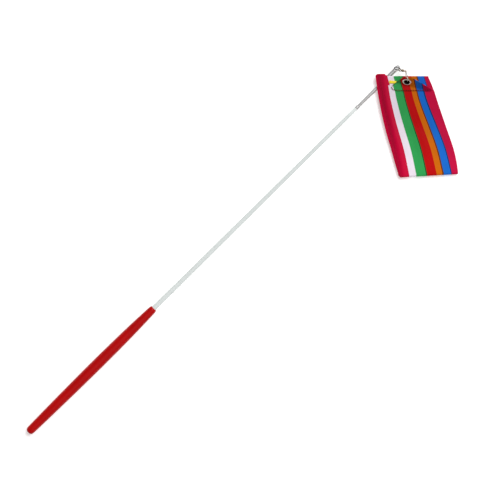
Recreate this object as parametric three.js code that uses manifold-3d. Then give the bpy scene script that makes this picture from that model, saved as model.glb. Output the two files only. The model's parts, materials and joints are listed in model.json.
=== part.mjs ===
// A dance ribbon wand: a red grip, a tapering white rod with a metal tip, a swivel and snap,
// and a striped satin ribbon wound into a flat pack that rests on the rod.
// Millimetres, +Z up. The wand lies on the plane z = 0 and points along +X.
import * as THREE from "three";
import { mergeVertices } from "three/addons/utils/BufferGeometryUtils.js";
import Module from "manifold-3d";

const wasm = await Module();
wasm.setup();

// ---------------------------------------------------------------- driving dimensions

const GAP = 0.3; // clearance between pieces that touch
const ROUND_SIDES = 28; // sides of the grip and the rod, with a flat one underneath

// Wand, measured along its axis from the butt.
const GRIP_LENGTH = 169;
const GRIP_BUTT_RADIUS = 3.95;
const GRIP_BELLY_RADIUS = 5.27;
const GRIP_BELLY_AT = 89;
const GRIP_FRONT_RADIUS = 3.75;
const GRIP_BUTT_FLAT = 1.6; // radius of the flat disc on the butt
const GRIP_BORE_FROM = 16; // the rod's blind bore starts here
const ROD_FROM = 18;
const ROD_TO = 444.5;
const ROD_RADIUS = 2.4; // inside the grip and at its mouth
const ROD_END_RADIUS = 1.75; // at the collar
const COLLAR_AT = 443;
const COLLAR_LENGTH = 2.4;
const COLLAR_WALL = 0.35;
const PIN_RADIUS = 1.5; // at the collar
const PIN_FRONT_RADIUS = 1.8; // where it meets the ferrule
const PIN_TANG_RADIUS = 0.75; // the thin end of the pin that sits in the rod
const PIN_TANG_LENGTH = 12;
const PIN_TIP_RADIUS = 1.15; // the thin end that sits in the ferrule
const FERRULE_FROM = 477;
const FERRULE_RADIUS = 1.95;
const FERRULE_BORE_LENGTH = 13;
const BLADE_FROM = 495.5; // the ferrule is pressed flat from here on
const BLADE_THICKNESS = 1.1;
const HOLE_AT = 498; // cross hole for the ring
const HOLE_RADIUS = 1.1;
const WAND_LENGTH = 500.2;

// Ring through the blade, swivel and snap.
const RING_RADIUS = 3.1;
const RING_WIRE = 0.4;
const RING_TURN = 29; // degrees that the ring is turned out of square to the wand
const RING_LEAN = 62; // degrees that it leans back above the wand
const EYE_RADIUS = 1.3;
const EYE_WIRE = 0.3;
const EYE_TO_BARREL = 3.1; // from an eye's centre to the barrel's
const BARREL_LENGTH = 2.7;
const BARREL_RADIUS = 1.3;
const SWIVEL_AZIMUTH = -58;
const SWIVEL_CLIMB = 36;
const EYE_PLAY = 0.15; // how far the front eye has been pulled out past the ring's wire
const SNAP_BEND = 2.1; // radius of the snap's two round ends
const SNAP_WIRE = 0.35;
const SNAP_RIM_TURN = 98; // where the snap holds the eyelet's rim, in degrees round the eyelet

// Ribbon pack, in a frame of its own: x to the right along its folded top end, y up from it.
const WAND_TO_PACK = 44.66; // degrees between the wand and the pack's top end
const PACK_CORNER = [478.1, 8.7]; // top left corner of the pack, in the wand's plan
const PACK_WIDTH = 52.6; // the ribbon's width, measured level
const PACK_TELESCOPE = 4.6; // how far the inner turns stand out on the left
const PACK_LENGTH = 96;
const PACK_THICKNESS = 5;
const PACK_LEAN = 17.2; // degrees that the long sides lean
const PACK_LEAN_BOW = 2.6; // how far the long sides bow to the right at mid length
const PACK_BOTTOM_RISE = 3.2; // the bottom end rises this much to the right
const TAB_THICKNESS = 0.5;
const TAB_BEND_TILT = 50; // degrees that the eyelet's end of the tab stands up
const TAB_BEND_MARGIN = 0.6; // from the bend line to the eyelet's rim
const EYELET_AT = [28.3, -6]; // eyelet's centre in the pack's frame
const EYELET_TURN = -15; // degrees from the top end to the bend line
const EYELET_RADIUS = 4.2;
const EYELET_HOLE_RADIUS = 2.7;
const EYELET_FLANGE = 0.55;
const EYELET_TUBE = 0.3; // wall of the tube that goes through the tab
const WASHER_HEIGHT = 0.45;
const THREAD_RADIUS = 0.2;
const BAND_WIDTH = 3;
const BAND_LEFT = 9.6; // where the band comes out from between the turns
const BAND_MIDDLE = -6.6;
const BAND_THICKNESS = 0.5;

// ---------------------------------------------------------------- finishes

const finish = (color, roughness, metalness = 0) =>
  new THREE.MeshStandardMaterial({ color, roughness, metalness });

const RED_PLASTIC = finish(0xb40f14, 0.4);
const WHITE_GLASS_FIBRE = finish(0xe0e2e0, 0.35);
const NICKEL = finish(0xb4b4b2, 0.28, 1);
const DARK_WIRE = finish(0x4a4640, 0.35, 1);
const BRASS = finish(0xc9a45c, 0.3, 1);
const EYELET_METAL = finish(0xe8dfd8, 0.3, 0.9);
const SATIN = finish(0xc0143c, 0.45);
const THREAD = finish(0x7a2a18, 0.8);
const YELLOW_RUBBER = finish(0xd8c010, 0.6);

// ---------------------------------------------------------------- helpers

const radians = THREE.MathUtils.degToRad;
const at = (x, y, z) => new THREE.Vector3(x, y, z);

// A closed geometry as a manifold solid, and back.
function solid(geometry) {
  const bare = geometry.clone();
  bare.deleteAttribute("normal");
  bare.deleteAttribute("uv");
  const merged = mergeVertices(bare, 1e-4);
  return new wasm.Manifold(
    new wasm.Mesh({
      numProp: 3,
      vertProperties: new Float32Array(merged.attributes.position.array),
      triVerts: new Uint32Array(merged.index.array),
    }),
  );
}

function geometryOf(body) {
  const mesh = body.getMesh();
  const geometry = new THREE.BufferGeometry();
  geometry.setAttribute("position", new THREE.BufferAttribute(mesh.vertProperties, 3));
  geometry.setIndex(new THREE.BufferAttribute(mesh.triVerts, 1));
  geometry.computeVertexNormals();
  return geometry;
}

const join = (...parts) => geometryOf(parts.map(solid).reduce((a, b) => a.add(b)));
const cut = (whole, ...tools) =>
  geometryOf(tools.map(solid).reduce((a, b) => a.subtract(b), solid(whole)));
const overlapOf = (a, b) => geometryOf(solid(a).intersect(solid(b)));

// A body turned about the X axis from [x, radius] points, with a flat side underneath.
function turned(points, sides = ROUND_SIDES) {
  const profile = points.map(([x, r]) => new THREE.Vector2(r, x));
  const body = new THREE.LatheGeometry(profile, sides, Math.PI / sides);
  return body.rotateZ(-Math.PI / 2);
}

// A round bar along X.
const bar = (from, to, radius, sides = 16) =>
  turned([[from, 0], [from, radius], [to, radius], [to, 0]], sides);

// A wire of round section along a curve.
function wire(curve, radius, steps, sides = 10) {
  const section = new THREE.Shape();
  section.absarc(0, 0, radius, 0, 2 * Math.PI);
  return new THREE.ExtrudeGeometry(section, {
    extrudePath: curve,
    steps,
    curveSegments: sides,
  });
}

function node(name, geometry, material, parent) {
  const mesh = new THREE.Mesh(geometry, material);
  mesh.name = name;
  parent.add(mesh);
  return mesh;
}

// Puts a group at a place, with its X and Y axes along two square directions.
function place(object, origin, xAxis, yAxis) {
  const zAxis = xAxis.clone().cross(yAxis).normalize();
  const square = zAxis.clone().cross(xAxis);
  object.quaternion.setFromRotationMatrix(new THREE.Matrix4().makeBasis(xAxis, square, zAxis));
  object.position.copy(origin);
}

// The direction with a plan angle from +X and a climb above the level, in degrees.
function heading(azimuth, climb) {
  const level = Math.cos(radians(climb));
  const turn = radians(azimuth);
  return at(level * Math.cos(turn), level * Math.sin(turn), Math.sin(radians(climb)));
}

// ---------------------------------------------------------------- wand

// The grip: a rounded butt, a belly, and a narrower square-cut front, bored for the rod.
function gripShape() {
  const buttRound = GRIP_BUTT_RADIUS - GRIP_BUTT_FLAT;
  const butt = new THREE.EllipseCurve(
    buttRound, GRIP_BUTT_FLAT, buttRound, buttRound, Math.PI, Math.PI / 2, true);
  const side = new THREE.SplineCurve([
    new THREE.Vector2(buttRound, GRIP_BUTT_RADIUS),
    new THREE.Vector2(GRIP_BELLY_AT * 0.38, GRIP_BUTT_RADIUS + 0.72),
    new THREE.Vector2(GRIP_BELLY_AT, GRIP_BELLY_RADIUS),
    new THREE.Vector2(GRIP_LENGTH * 0.84, GRIP_FRONT_RADIUS + 0.95),
    new THREE.Vector2(GRIP_LENGTH - 1.4, GRIP_FRONT_RADIUS),
  ]);
  const outline = [
    [0, 0],
    ...butt.getPoints(5).map((p) => [p.x, p.y]),
    ...side.getPoints(20).slice(1).map((p) => [p.x, p.y]),
    [GRIP_LENGTH, GRIP_FRONT_RADIUS - 1],
    [GRIP_LENGTH, ROD_RADIUS + GAP],
    [GRIP_BORE_FROM, ROD_RADIUS + GAP],
    [GRIP_BORE_FROM, 0],
  ];
  return turned(outline);
}

// The rod tapers from the grip to the collar, where it is stepped down and bored for the pin.
function rodShape() {
  const stepAt = COLLAR_AT - COLLAR_LENGTH / 2;
  const seat = ROD_END_RADIUS - GAP;
  const boreFrom = ROD_TO - PIN_TANG_LENGTH - GAP;
  const bore = PIN_TANG_RADIUS + GAP * 0.7;
  return turned([
    [ROD_FROM, 0],
    [ROD_FROM, ROD_RADIUS],
    [GRIP_LENGTH, ROD_RADIUS],
    [stepAt, ROD_END_RADIUS],
    [stepAt, seat],
    [ROD_TO, seat],
    [ROD_TO, bore],
    [boreFrom, bore],
    [boreFrom, 0],
  ]);
}

function collarShape() {
  const inner = ROD_END_RADIUS;
  const outer = inner + COLLAR_WALL;
  const from = COLLAR_AT - COLLAR_LENGTH / 2 + GAP;
  const to = COLLAR_AT + COLLAR_LENGTH / 2 + GAP;
  const ring = [[from, inner], [from, outer - 0.1], [COLLAR_AT, outer], [to, outer - 0.1], [to, inner]];
  return turned([...ring, ring[0]]);
}

// The steel pin between the rod and the ferrule, thin at both ends where it is held.
function pinShape() {
  const shoulder = ROD_TO + GAP;
  const tipFrom = FERRULE_FROM - GAP;
  const tipTo = FERRULE_FROM + FERRULE_BORE_LENGTH - GAP;
  return turned([
    [shoulder - PIN_TANG_LENGTH, 0],
    [shoulder - PIN_TANG_LENGTH, PIN_TANG_RADIUS],
    [shoulder, PIN_TANG_RADIUS],
    [shoulder, PIN_RADIUS],
    [tipFrom - 1, PIN_FRONT_RADIUS],
    [tipFrom, PIN_TIP_RADIUS],
    [tipTo, PIN_TIP_RADIUS],
    [tipTo, 0],
  ], 20);
}

// The ferrule: a tube over the pin, pressed flat at its end into a blade with a cross hole.
function ferruleShape() {
  const bore = PIN_TIP_RADIUS + GAP;
  const boreTo = FERRULE_FROM + FERRULE_BORE_LENGTH;
  const body = turned([
    [FERRULE_FROM, bore],
    [FERRULE_FROM, FERRULE_RADIUS - 0.15],
    [FERRULE_FROM + 1, FERRULE_RADIUS],
    [WAND_LENGTH - 1.2, FERRULE_RADIUS],
    [WAND_LENGTH - 0.3, FERRULE_RADIUS - 0.7],
    [WAND_LENGTH, 0],
    [boreTo, 0],
    [boreTo, bore],
    [FERRULE_FROM, bore],
  ], 24);
  const wedge = new THREE.Shape([
    new THREE.Vector2(BLADE_FROM - 2.2, FERRULE_RADIUS + 0.1),
    new THREE.Vector2(BLADE_FROM, BLADE_THICKNESS / 2),
    new THREE.Vector2(WAND_LENGTH + 1, BLADE_THICKNESS / 2),
    new THREE.Vector2(WAND_LENGTH + 1, FERRULE_RADIUS + 0.1),
  ]);
  const cheek = new THREE.ExtrudeGeometry(wedge, { depth: 6, bevelEnabled: false });
  cheek.translate(0, 0, -3);
  const otherCheek = cheek.clone().rotateX(Math.PI);
  const hole = new THREE.CylinderGeometry(HOLE_RADIUS, HOLE_RADIUS, 4, 20);
  hole.translate(HOLE_AT, 0, 0);
  return cut(body, cheek, otherCheek, hole);
}

// ---------------------------------------------------------------- swivel and snap

// A wire eye in its own XY plane at the origin, with a stem along +X that ends in a head.
function eyeShape() {
  const headAt = EYE_TO_BARREL - 0.3;
  const ring = new THREE.TorusGeometry(EYE_RADIUS, EYE_WIRE, 8, 20);
  const stem = bar(EYE_RADIUS, headAt, EYE_WIRE, 12);
  const head = bar(headAt - 0.35, headAt, EYE_WIRE * 2, 16);
  return join(ring, stem, head);
}

// The barrel, a bulged shell with a hole at each end that the two stems turn in.
function barrelShape() {
  const half = BARREL_LENGTH / 2;
  const hole = EYE_WIRE + 0.2;
  const chamber = EYE_WIRE * 2 + 0.2;
  const wall = 0.4;
  return turned([
    [-half, hole],
    [-half, BARREL_RADIUS * 0.72],
    [-half * 0.55, BARREL_RADIUS],
    [half * 0.55, BARREL_RADIUS],
    [half, BARREL_RADIUS * 0.72],
    [half, hole],
    [half - wall, hole],
    [half - wall, chamber],
    [-half + wall, chamber],
    [-half + wall, hole],
    [-half, hole],
  ], 20);
}

// The snap lies along +X in its own XY plane. Its wire runs from the gate's hinge round the near
// end, along the lower leg, round the far end, and stops at a short lip.
function snapShapes(reach) {
  const gateFrom = 1.2;
  const gateTo = reach - 0.6;
  const path = new THREE.CurvePath();
  const arc = (x, from, to) => {
    const points = [];
    for (let i = 0; i <= 10; i++) {
      const turn = radians(THREE.MathUtils.lerp(from, to, i / 10));
      points.push(at(x + SNAP_BEND * Math.cos(turn), SNAP_BEND * Math.sin(turn), 0));
    }
    return points;
  };
  const hookLine = new THREE.CatmullRomCurve3(
    [at(gateFrom - 0.25, SNAP_BEND, 0), ...arc(0, 90, 270), at(reach / 2, -SNAP_BEND, 0),
      ...arc(reach, -90, 90), at(gateTo + 0.55, SNAP_BEND, 0)],
    false, "centripetal");
  const gateLine = new THREE.LineCurve3(
    at(gateFrom, SNAP_BEND, 0), at(gateTo, SNAP_BEND, 0));
  const latch = new THREE.SphereGeometry(SNAP_WIRE * 1.35, 12, 8);
  latch.translate(gateTo - 0.1, SNAP_BEND, 0);
  return {
    hook: wire(hookLine, SNAP_WIRE, 44, 8),
    gate: join(wire(gateLine, SNAP_WIRE * 0.85, 2, 8), latch),
  };
}

// ---------------------------------------------------------------- ribbon

// How far the ribbon's long sides have moved right at a level y of the pack.
function leanAt(y) {
  const down = THREE.MathUtils.clamp(-y / PACK_LENGTH, 0, 1);
  const straight = down * PACK_LENGTH * Math.tan(radians(PACK_LEAN));
  return straight + PACK_LEAN_BOW * Math.sin(Math.PI * down);
}

// The wound ribbon as one slab: a long section with round ends, leaning to the right.
function packShape() {
  const r = PACK_THICKNESS / 2;
  const width = PACK_WIDTH + PACK_TELESCOPE;
  const ends = 8;
  const runs = 8;
  const outline = [];
  for (let i = 0; i <= ends; i++) {
    const turn = Math.PI / 2 - (Math.PI * i) / ends;
    outline.push(new THREE.Vector2(-r + r * Math.cos(turn), r * Math.sin(turn)));
  }
  for (let i = 1; i < runs; i++) {
    outline.push(new THREE.Vector2(-r + ((2 * r - PACK_LENGTH) * i) / runs, -r));
  }
  for (let i = 0; i <= ends; i++) {
    const turn = -Math.PI / 2 - (Math.PI * i) / ends;
    outline.push(new THREE.Vector2(r - PACK_LENGTH + r * Math.cos(turn), r * Math.sin(turn)));
  }
  for (let i = runs - 1; i > 0; i--) {
    outline.push(new THREE.Vector2(-r + ((2 * r - PACK_LENGTH) * i) / runs, r));
  }
  const slab = new THREE.ExtrudeGeometry(new THREE.Shape(outline.reverse()), {
    depth: width,
    steps: 4,
    bevelEnabled: false,
  });
  const corners = slab.attributes.position;
  for (let i = 0; i < corners.count; i++) {
    const [y, z, across] = [corners.getX(i), corners.getY(i), corners.getZ(i)];
    const rise = (PACK_BOTTOM_RISE * across * -y) / (width * PACK_LENGTH);
    corners.setXYZ(i, across - PACK_TELESCOPE + leanAt(y), y + rise, z + r);
  }
  return slab;
}

// The tab's plan outline: a wide triangle with its point at the eyelet and a rounded left corner.
function tabOutline() {
  const outline = new THREE.Shape();
  outline.moveTo(19.2, -15.4);
  outline.lineTo(54.6, -14.9);
  outline.lineTo(41.3, -7.2);
  outline.lineTo(32.4, -2.5);
  outline.lineTo(24.4, -2.4);
  outline.lineTo(14.6, -9.8);
  outline.quadraticCurveTo(12.6, -12.2, 16.4, -13.9);
  outline.closePath();
  return outline;
}

const tiltDown = Math.cos(radians(TAB_BEND_TILT));
const tiltUp = Math.sin(radians(TAB_BEND_TILT));

// The tab's sheet: level, then rising at the bend line to carry the eyelet.
function tabShape(bendFromEyelet) {
  const thick = TAB_THICKNESS;
  const rise = 9; // longer than the standing end, which the plan outline trims
  const profile = new THREE.Shape([
    new THREE.Vector2(-30, 0),
    new THREE.Vector2(0, 0),
    new THREE.Vector2(rise * tiltDown, rise * tiltUp),
    new THREE.Vector2(rise * tiltDown - thick * tiltUp, rise * tiltUp + thick * tiltDown),
    new THREE.Vector2(-thick * Math.tan(radians(TAB_BEND_TILT / 2)), thick),
    new THREE.Vector2(-30, thick),
  ]);
  const sheet = new THREE.ExtrudeGeometry(profile, { depth: 90, bevelEnabled: false });
  // The profile's x runs up across the bend line and its y runs up from the pack.
  sheet.translate(0, 0, -45);
  sheet.rotateX(Math.PI / 2);
  sheet.rotateZ(Math.PI / 2);
  sheet.rotateZ(radians(EYELET_TURN));
  const up = radians(90 + EYELET_TURN);
  sheet.translate(
    EYELET_AT[0] - bendFromEyelet * Math.cos(up), EYELET_AT[1] - bendFromEyelet * Math.sin(up), 0);
  const plan = new THREE.ExtrudeGeometry(tabOutline(), { depth: 20, bevelEnabled: false });
  plan.translate(0, 0, -2);
  return overlapOf(sheet, plan);
}

// A ring turned about Z from [radius, z] points.
function turnedRing(points) {
  const profile = [...points, points[0]].map(([r, z]) => new THREE.Vector2(r, z));
  return new THREE.LatheGeometry(profile, 28).rotateX(Math.PI / 2);
}

// The eyelet's front: a rolled rim and a short tube that goes down through the tab.
function eyeletShape(height) {
  const tubeTo = -TAB_THICKNESS - GAP * 2 - WASHER_HEIGHT / 2;
  const outside = EYELET_HOLE_RADIUS + EYELET_TUBE;
  return turnedRing([
    [EYELET_HOLE_RADIUS, tubeTo],
    [outside, tubeTo],
    [outside, 0],
    [EYELET_RADIUS, 0],
    [EYELET_RADIUS - 0.15, height * 0.7],
    [(EYELET_RADIUS + EYELET_HOLE_RADIUS) / 2, height],
    [EYELET_HOLE_RADIUS, height * 0.6],
  ]);
}

// The eyelet's back washer, under the tab and round the tube.
function washerShape() {
  const inside = EYELET_HOLE_RADIUS + EYELET_TUBE + GAP;
  return turnedRing([
    [inside, -WASHER_HEIGHT],
    [EYELET_RADIUS, -WASHER_HEIGHT],
    [EYELET_RADIUS, 0],
    [inside, 0],
  ]);
}

// The band's visible strand, cut off along the tab's slanting edge.
function bandShape() {
  const low = BAND_MIDDLE - BAND_WIDTH / 2;
  const high = BAND_MIDDLE + BAND_WIDTH / 2;
  const strand = new THREE.Shape([
    new THREE.Vector2(BAND_LEFT, low),
    new THREE.Vector2(15.8, low),
    new THREE.Vector2(18.9, high),
    new THREE.Vector2(BAND_LEFT, high),
  ]);
  return new THREE.ExtrudeGeometry(strand, { depth: BAND_THICKNESS, bevelEnabled: false });
}

// ---------------------------------------------------------------- assembly

const assembly = new THREE.Group();

// The wand rests on the grip's belly and on the ferrule, so its axis falls a little to the tip.
const bellyHeight = GRIP_BELLY_RADIUS * Math.cos(Math.PI / ROUND_SIDES);
const tipHeight = FERRULE_RADIUS * Math.cos(Math.PI / 24);
const droop = Math.asin((bellyHeight - tipHeight) / (BLADE_FROM - GRIP_BELLY_AT));
const wand = new THREE.Group();
wand.rotation.y = droop;
wand.position.z = bellyHeight + GRIP_BELLY_AT * Math.sin(droop);
assembly.add(wand);
node("grip", gripShape(), RED_PLASTIC, wand);
node("rod", rodShape(), WHITE_GLASS_FIBRE, wand);
node("tip_collar", collarShape(), NICKEL, wand);
node("tip_pin", pinShape(), NICKEL, wand);
node("tip_ferrule", ferruleShape(), NICKEL, wand);
assembly.updateMatrixWorld(true);
const onAxis = (x) => wand.localToWorld(at(x, 0, 0));

// The ring passes through the blade's hole and leans back over the ferrule.
const ringTangent = heading(90 + RING_TURN, 0);
const ringLean = heading(180 + RING_TURN, RING_LEAN);
const ringSide = ringTangent.clone().negate();
const ringCentre = onAxis(HOLE_AT).addScaledVector(ringLean, RING_RADIUS);
const ringShape = new THREE.TorusGeometry(RING_RADIUS, RING_WIRE, 10, 30);
place(node("tip_ring", ringShape, NICKEL, assembly), ringCentre, ringLean, ringSide);

// The swivel hooks on the ring where the ring's wire is square to the pull.
const pull = heading(SWIVEL_AZIMUTH, SWIVEL_CLIMB);
const hookTurn = Math.atan2(pull.dot(ringSide), pull.dot(ringLean));
const ringWireDirection = ringSide.clone().multiplyScalar(Math.cos(hookTurn))
  .addScaledVector(ringLean, -Math.sin(hookTurn));
const frontEyeAt = ringCentre.clone()
  .addScaledVector(ringLean, RING_RADIUS * Math.cos(hookTurn))
  .addScaledVector(ringSide, RING_RADIUS * Math.sin(hookTurn))
  .addScaledVector(pull, EYE_PLAY);
const barrelAt = frontEyeAt.clone().addScaledVector(pull, EYE_TO_BARREL);
const rearEyeAt = barrelAt.clone().addScaledVector(pull, EYE_TO_BARREL);
const eyePlane = ringWireDirection.clone().cross(pull).normalize();
place(node("swivel_front_eye", eyeShape(), BRASS, assembly), frontEyeAt, pull, eyePlane);
place(node("swivel_barrel", barrelShape(), BRASS, assembly), barrelAt, pull, eyePlane);

// The pack's level of rest: on the ferrule at one end and on the ground at its far corner.
const pack = new THREE.Group();
const farCorner = at(PACK_WIDTH + leanAt(-PACK_LENGTH), -PACK_LENGTH, 0)
  .applyAxisAngle(at(0, 0, 1), -radians(WAND_TO_PACK));
const restHeight = onAxis(FERRULE_FROM).z + FERRULE_RADIUS + GAP;
const packTilt = Math.asin(restHeight / Math.abs(farCorner.y + PACK_CORNER[1]));
pack.rotation.set(packTilt, 0, -radians(WAND_TO_PACK));
pack.position.set(...PACK_CORNER, restHeight + PACK_CORNER[1] * Math.sin(packTilt));
assembly.add(pack);
node("ribbon_pack", packShape(), SATIN, pack);

// The sewn tab lies on the pack and stands up at its point, where it carries the eyelet.
const tabHeight = PACK_THICKNESS + GAP;
const bendFromEyelet = EYELET_RADIUS * tiltDown + TAB_BEND_MARGIN;
const eyelet = new THREE.Group();
const bendAcross = radians(EYELET_TURN);
const slopeUp = radians(90 + EYELET_TURN);
place(
  eyelet,
  at(...EYELET_AT, tabHeight + bendFromEyelet * Math.tan(radians(TAB_BEND_TILT))),
  at(Math.cos(bendAcross), Math.sin(bendAcross), 0),
  at(tiltDown * Math.cos(slopeUp), tiltDown * Math.sin(slopeUp), tiltUp),
);
pack.add(eyelet);
const tabSheet = tabShape(bendFromEyelet).translate(0, 0, tabHeight);
const punch = new THREE.CylinderGeometry(
  EYELET_HOLE_RADIUS + EYELET_TUBE + GAP, EYELET_HOLE_RADIUS + EYELET_TUBE + GAP, 6, 28);
punch.rotateX(Math.PI / 2);
eyelet.updateMatrix();
punch.applyMatrix4(eyelet.matrix);
node("ribbon_tab", cut(tabSheet, punch), SATIN, pack);
const flange = node("eyelet", eyeletShape(EYELET_FLANGE), EYELET_METAL, eyelet);
flange.position.z = TAB_THICKNESS + GAP;
const washer = node("eyelet_washer", washerShape(), EYELET_METAL, eyelet);
washer.position.z = -GAP;

// Seams on the tab, and the elastic band that shows beside it.
const threadHeight = tabHeight + TAB_THICKNESS + GAP / 2 + THREAD_RADIUS;
const onTab = ([x, y]) => at(x, y, threadHeight);
const baseSeam = new THREE.CatmullRomCurve3([[20, -14.6], [32, -14.5], [43, -14.3]].map(onTab));
const edgeSeam = new THREE.CatmullRomCurve3(
  [[18.7, -8.4], [16.4, -10.4], [16, -11.9], [17.6, -13.1]].map(onTab));
node("base_seam", wire(baseSeam, THREAD_RADIUS, 8, 8), THREAD, pack);
node("edge_seam", wire(edgeSeam, THREAD_RADIUS, 10, 8), THREAD, pack);
node("elastic_band", bandShape().translate(0, 0, tabHeight), YELLOW_RUBBER, pack);
assembly.updateMatrixWorld(true);

// The snap stands on edge between the swivel's rear eye and the eyelet's upper rim.
const rimTurn = radians(SNAP_RIM_TURN);
const rimOffset = at(Math.cos(rimTurn), Math.sin(rimTurn), 0).multiplyScalar(EYELET_RADIUS - 0.15);
const rimPoint = eyelet.localToWorld(rimOffset.setZ(TAB_THICKNESS));
const rimDirection = at(-Math.sin(rimTurn), Math.cos(rimTurn), 0)
  .transformDirection(eyelet.matrixWorld);
const reach = rimPoint.distanceTo(rearEyeAt) - SNAP_BEND;
const snapLine = rimPoint.clone().sub(rearEyeAt).normalize();
const snapSide = rimDirection.clone()
  .addScaledVector(snapLine, -rimDirection.dot(snapLine)).normalize();
const snapUp = snapSide.clone().cross(snapLine);
const snap = new THREE.Group();
place(snap, rearEyeAt.clone().addScaledVector(snapLine, SNAP_BEND), snapLine, snapUp);
assembly.add(snap);
const { hook, gate } = snapShapes(reach);
node("snap_hook", hook, NICKEL, snap);
node("snap_gate", gate, DARK_WIRE, snap);
const rearEye = node("swivel_rear_eye", eyeShape(), BRASS, assembly);
place(rearEye, rearEyeAt, pull.clone().negate(), snapSide);

// The origin is under the middle of the whole object, on the ground.
const model = new THREE.Group();
const bounds = new THREE.Box3().setFromObject(assembly, true);
const middle = bounds.getCenter(new THREE.Vector3());
assembly.position.set(-middle.x, -middle.y, -bounds.min.z);
model.add(assembly);

export default model;
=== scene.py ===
"""Looks for a dance ribbon wand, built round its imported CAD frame.

Lengths are in millimetres inside a piece's own frame, and each frame turns them into metres.
"""

import json
import math

import bpy
from mathutils import Matrix, Vector, noise


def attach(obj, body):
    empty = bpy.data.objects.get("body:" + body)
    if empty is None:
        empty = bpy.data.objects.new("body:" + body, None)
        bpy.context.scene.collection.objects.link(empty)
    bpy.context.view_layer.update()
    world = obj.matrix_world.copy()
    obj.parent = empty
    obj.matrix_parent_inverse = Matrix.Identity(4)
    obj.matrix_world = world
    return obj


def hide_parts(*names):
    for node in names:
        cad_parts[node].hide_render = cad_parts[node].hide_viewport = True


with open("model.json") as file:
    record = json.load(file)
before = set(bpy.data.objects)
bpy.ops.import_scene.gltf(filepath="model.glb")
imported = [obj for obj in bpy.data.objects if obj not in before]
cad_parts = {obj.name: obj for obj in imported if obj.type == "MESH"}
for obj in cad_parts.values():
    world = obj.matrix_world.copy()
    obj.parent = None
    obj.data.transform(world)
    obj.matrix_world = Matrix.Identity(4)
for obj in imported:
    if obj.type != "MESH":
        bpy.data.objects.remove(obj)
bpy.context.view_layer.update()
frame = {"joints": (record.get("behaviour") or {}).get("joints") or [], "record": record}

MM = 0.001

# ------------------------------------------------------------ driving dimensions, in millimetres

NEAR_AXIS = 0.05  # a turned body's ends close at this radius
GRIP_LENGTH = 169
# The grip from its butt: (distance, radius).
GRIP_OUTLINE = [
    (0.05, 1.6), (0.7, 2.9), (2.3, 3.8), (5, 4.1), (33.8, 4.67), (60, 5.05), (89, 5.27),
    (118, 5.12), (142, 4.7), (158, 4.1), (166.6, 3.76),
]
GRIP_BUTT_FLAT = 1.5
GRIP_SHOULDER = (167, 3.75)
GRIP_FRONT_RADIUS = 3.3
GRIP_BORE_DEPTH = 4
GRIP_BORE_ROOM = 0.12
ROD_FROM = 20
ROD_RADIUS = 2.4
ROD_END_RADIUS = 1.75
ROD_CORE_RADIUS = 1.4  # what is left of the rod inside the collar
ROD_TO = 444.5
COLLAR_FROM = 441.9
COLLAR_AT = 443  # its thickest place
COLLAR_TO = 444.6
COLLAR_RADIUS = 1.92
PIN_FROM = 444.4
PIN_RADIUS = 1.5
PIN_FRONT_RADIUS = 1.8
PIN_CORE_RADIUS = 1.15  # the pin inside the ferrule
PIN_TO = 489
FERRULE_FROM = 477
FERRULE_BORE_RADIUS = 1.25
FERRULE_RADIUS = 1.95
BLADE_FROM = 495.5
BLADE_THICKNESS = 1.1
HOLE_AT = 498
HOLE_RADIUS = 1.1
WAND_LENGTH = 500.2
RING_RADIUS = 3.1
RING_WIRE = 0.4
EYE_RADIUS = 1.3
EYE_WIRE = 0.3
EYE_TO_BARREL = 3.1
BARREL_LENGTH = 2.7
BARREL_RADIUS = 1.3
SNAP_BEND = 2.1
SNAP_WIRE = 0.35
EYELET_RADIUS = 4.2
EYELET_HOLE_RADIUS = 2.7

RIBBON_WIDTH = 50
RIBBON_TURNS = 20
RIBBON_THICKNESS = 0.11
PACK_LENGTH = 97
PACK_THICKNESS = 5
TAB_SEAM_AT = -14.6  # the ribbon's outer end is sewn to the tab at this level
TAB_THICKNESS = 0.5
TAB_CLOTH_THICKNESS = 0.4
TAB_BEND_TILT = math.radians(50)
EYELET_AT = (28.3, -6.0)
EYELET_TURN = math.radians(-15)

# ------------------------------------------------------------ frames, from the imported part


def basis(origin, x_axis, y_axis):
    """A frame in metres whose own lengths are millimetres, with X kept and Y squared to it."""
    x = x_axis.normalized()
    z = x.cross(y_axis).normalized()
    y = z.cross(x)
    turn = Matrix((x, y, z)).transposed().to_4x4()
    return Matrix.Translation(origin) @ turn @ Matrix.Scale(MM, 4)


joints = {joint["name"]: joint for joint in frame["joints"]}
mounts = {mount["name"]: mount for mount in frame["record"]["mounts"]}


def place_of(joint):
    return Vector(joints[joint]["pos_m"])


def axis_of(joint):
    return Vector(joints[joint]["axis"]).normalized()


UP = Vector((0, 0, 1))
BUTT = Vector(mounts["butt_face"]["pos_m"])
HOLE = place_of("ring_swing")
WAND = basis(BUTT, HOLE - BUTT, UP.cross(HOLE - BUTT))
RING_CENTRE = place_of("eye_slide_round_ring")
RING = basis(RING_CENTRE, RING_CENTRE - HOLE, axis_of("eye_slide_round_ring").cross(RING_CENTRE - HOLE))
BARREL_AT = place_of("barrel_spin")
PULL = axis_of("barrel_spin")
FRONT_EYE_AT = BARREL_AT - PULL * EYE_TO_BARREL * MM
REAR_EYE_AT = place_of("snap_swing")
SNAP_SIDE = axis_of("snap_swing")
RIM_POINT = place_of("ribbon_swing")
SNAP_LINE = (RIM_POINT - REAR_EYE_AT).normalized()
SNAP_REACH = (RIM_POINT - REAR_EYE_AT).length / MM - SNAP_BEND
ring_wire = axis_of("eye_slide_round_ring").cross(FRONT_EYE_AT - RING_CENTRE)
FRONT_EYE = basis(FRONT_EYE_AT, PULL, ring_wire.cross(PULL))
BARREL = basis(BARREL_AT, PULL, ring_wire.cross(PULL))
REAR_EYE = basis(REAR_EYE_AT, -PULL, SNAP_SIDE)
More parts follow.
